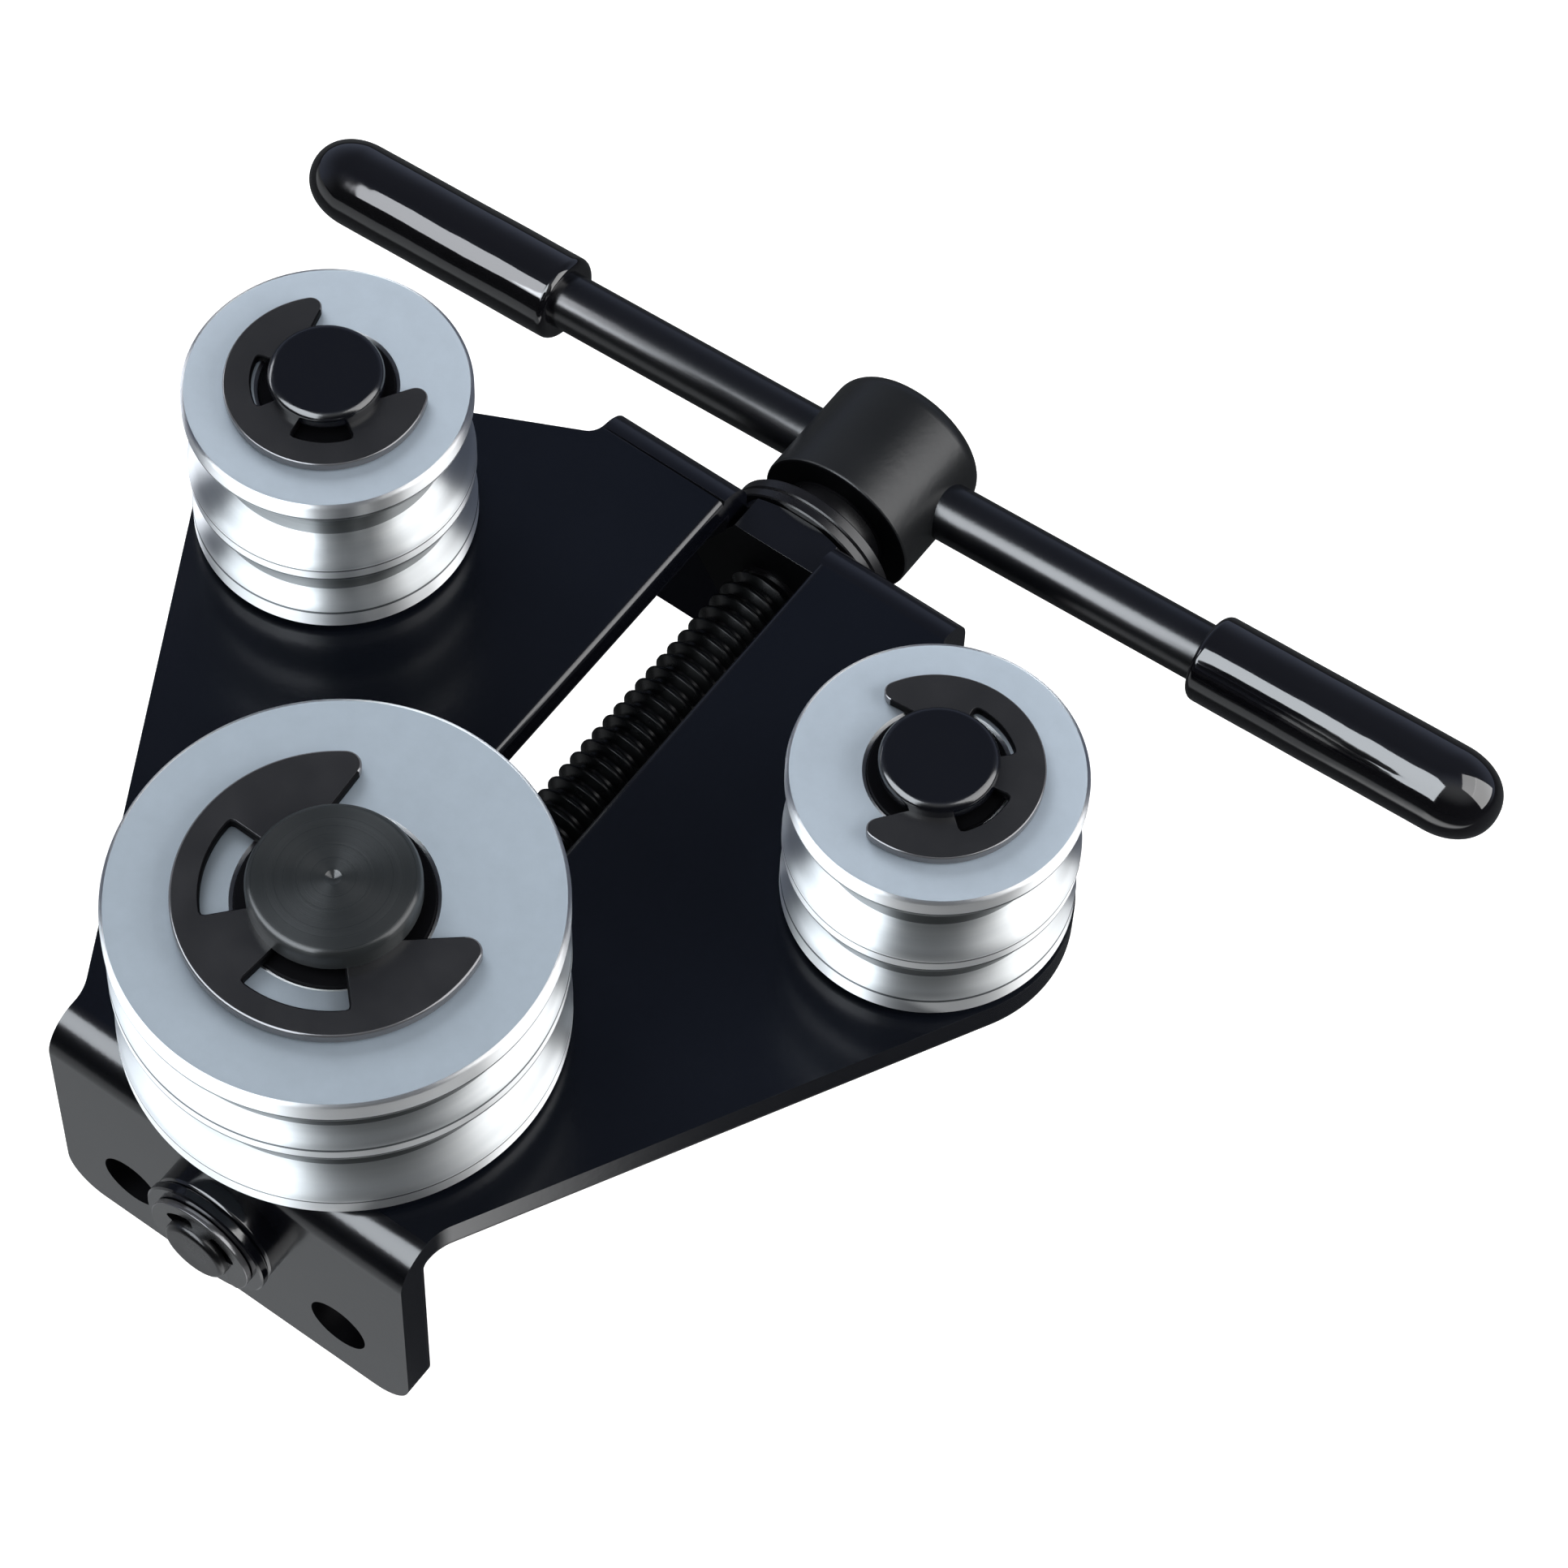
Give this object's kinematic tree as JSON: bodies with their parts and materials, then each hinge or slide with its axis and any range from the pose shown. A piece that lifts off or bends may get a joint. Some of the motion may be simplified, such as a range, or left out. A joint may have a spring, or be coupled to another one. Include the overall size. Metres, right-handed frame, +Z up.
{
  "type": "brake pipe bender",
  "caption": "Bench-mounted tube bender: a screw with a T handle draws a large grooved roller along a slot in a folded plate, between two small grooved rollers.",
  "frame": {"origin": "midway between the two mounting holes, on the front flange's outer face", "axes": "+Z up through the rollers' tops, +Y from the front flange along the lead screw to the T handle, +X to the right seen from the front flange"},
  "size_m": [0.21, 0.1665, 0.0768],
  "materials": {
    "black_paint": "gloss",
    "bright_zinc": "bright",
    "spring_steel": "satin",
    "turned_steel": "turned",
    "black_oxide": "satin",
    "satin_black": "satin",
    "vinyl": "gloss"
  },
  "bodies": {
    "frame": {"base_plate": "black_paint", "left_roller_pin": "black_paint", "right_roller_pin": "black_paint", "left_roller_washer": "bright_zinc", "right_roller_washer": "bright_zinc", "left_roller_clip": "spring_steel", "right_roller_clip": "spring_steel", "front_bush": "black_paint", "front_washer": "black_paint", "rear_bush": "black_paint", "inner_thrust_washer": "black_oxide"},
    "left_roller": {"left_roller": "bright_zinc"},
    "right_roller": {"right_roller": "bright_zinc"},
    "carriage": {"carriage_nut": "black_oxide", "large_roller_axle": "turned_steel", "large_roller_washer": "bright_zinc", "large_roller_clip": "spring_steel"},
    "large_roller": {"large_roller": "bright_zinc"},
    "screw": {"lead_screw": "black_oxide", "front_clip": "spring_steel", "outer_thrust_washer": "black_oxide", "handle_hub": "satin_black", "handle_bar": "black_paint", "left_grip": "vinyl", "right_grip": "vinyl"}
  },
  "joints": [
    {"name": "screw_turn", "type": "hinge", "parent": "frame", "child": "screw", "pos_m": [0, 0, 0.0123], "axis": [0, -1, 0], "range_deg": [0, 11905]},
    {"name": "carriage_slide", "type": "slide", "parent": "frame", "child": "carriage", "axis": [0, 1, 0], "range_m": [0, 0.084]},
    {"name": "large_roller_spin", "type": "hinge", "parent": "carriage", "child": "large_roller", "pos_m": [0, 0.0263, 0.0308], "axis": [0, 0, 1], "continuous": true},
    {"name": "left_roller_spin", "type": "hinge", "parent": "frame", "child": "left_roller", "pos_m": [-0.05085, 0.08835, 0.0308], "axis": [0, 0, 1], "continuous": true},
    {"name": "right_roller_spin", "type": "hinge", "parent": "frame", "child": "right_roller", "pos_m": [0.05085, 0.08835, 0.0308], "axis": [0, 0, 1], "continuous": true}
  ],
  "couplings": [
    {"joint": "carriage_slide", "follows": "screw_turn", "m_per_rad": 0.00040425}
  ]
}
